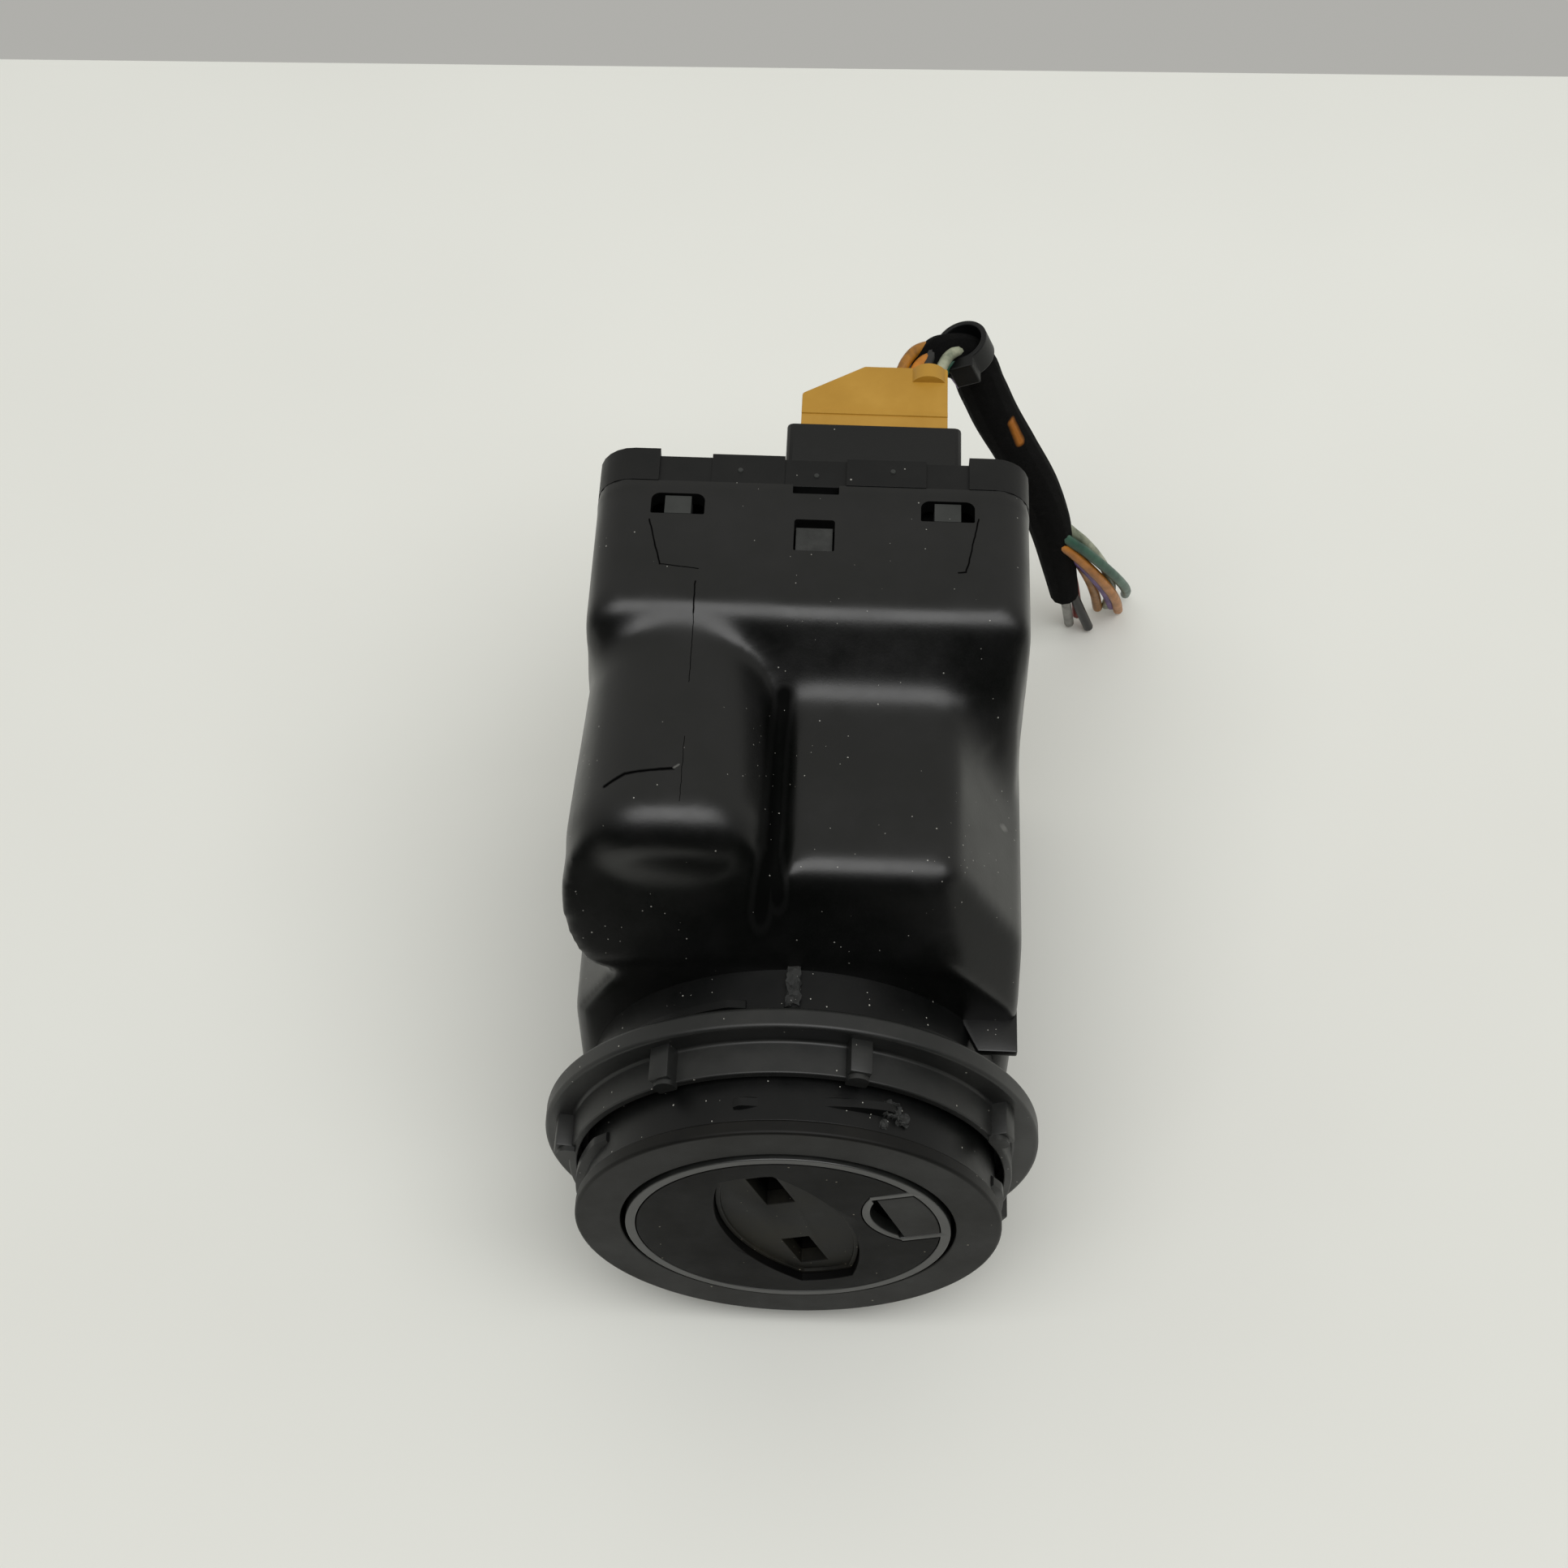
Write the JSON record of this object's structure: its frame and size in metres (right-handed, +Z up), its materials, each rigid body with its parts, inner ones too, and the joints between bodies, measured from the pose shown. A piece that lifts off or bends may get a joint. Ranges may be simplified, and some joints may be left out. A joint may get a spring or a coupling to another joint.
{
  "type": "ignition switch",
  "caption": "Dash mounted key switch: round turning face with a lens shaped key recess in a threaded barrel with a ring nut, boxy moulded housing behind, amber plug and short cut harness.",
  "frame": {"origin": "centre of the turning face, on the barrel axis, in the plane of the bezel's flat front", "axes": "+Y along the barrel axis from the face towards the plug, +X right as seen from the front, +Z up"},
  "size_m": [0.0786, 0.1216, 0.076],
  "materials": {
    "black_plastic": "fine moulded grain, half matt, dusty",
    "satin_plastic": "satin moulded plastic, rubbed",
    "light_guide": "smoky translucent light guide",
    "core_plastic": "glass filled plastic",
    "steel": "plain bright steel",
    "copper": "copper and tinned brass",
    "amber_plastic": "satin amber plastic",
    "board": "lacquered board",
    "wire_insulation": "coloured wire insulation",
    "fleece_tape": "fuzzy fleece tape"
  },
  "bodies": {
    "body": {"housing": "black_plastic", "rear_cover": "black_plastic", "front_bezel": "satin_plastic", "antenna_bobbin": "core_plastic", "antenna_coil": "copper", "contact_base": "core_plastic", "contact_tracks": "copper", "detent_spring": "steel", "solenoid_can": "steel", "solenoid_bobbin": "core_plastic", "solenoid_coil": "copper", "circuit_board": "board", "control_chip": "board", "pin_header": "black_plastic", "terminal_pins": "copper", "wire_plug": "amber_plastic", "plug_clip": "black_plastic", "plug_wires": "wire_insulation", "harness_sleeve": "fleece_tape", "loose_wires": "wire_insulation"},
    "rotor": {"face_disc": "satin_plastic", "light_ring": "light_guide", "key_guide": "satin_plastic", "lock_core": "core_plastic", "driver": "core_plastic", "return_spring": "steel", "contact_carrier": "core_plastic", "contact_wipers": "copper"},
    "lock_ring": {"lock_ring": "black_plastic"},
    "release_cover": {"release_cover": "satin_plastic"},
    "release_button": {"release_button": "amber_plastic", "button_spring": "steel"},
    "plunger": {"plunger": "steel", "plunger_spring": "steel"}
  },
  "joints": [
    {"name": "key_turn", "type": "hinge", "parent": "body", "child": "rotor", "pos_m": [0, 0, 0], "axis": [0, 1, 0], "range_deg": [0, 90]},
    {"name": "lock_ring_turn", "type": "hinge", "parent": "body", "child": "lock_ring", "pos_m": [0, 0, 0], "axis": [0, 1, 0], "range_deg": [-60, 0]},
    {"name": "release_cover_pull", "type": "slide", "parent": "rotor", "child": "release_cover", "axis": [0, -1, 0], "range_m": [0, 0.008]},
    {"name": "release_button_press", "type": "slide", "parent": "rotor", "child": "release_button", "axis": [0, 1, 0], "range_m": [0, 0.0025], "stiffness_N_per_m": 300, "deforming": ["button_spring"]},
    {"name": "plunger_slide", "type": "slide", "parent": "body", "child": "plunger", "axis": [0, -1, 0], "range_m": [0, 0.0022], "stiffness_N_per_m": 250, "deforming": ["plunger_spring"]}
  ]
}
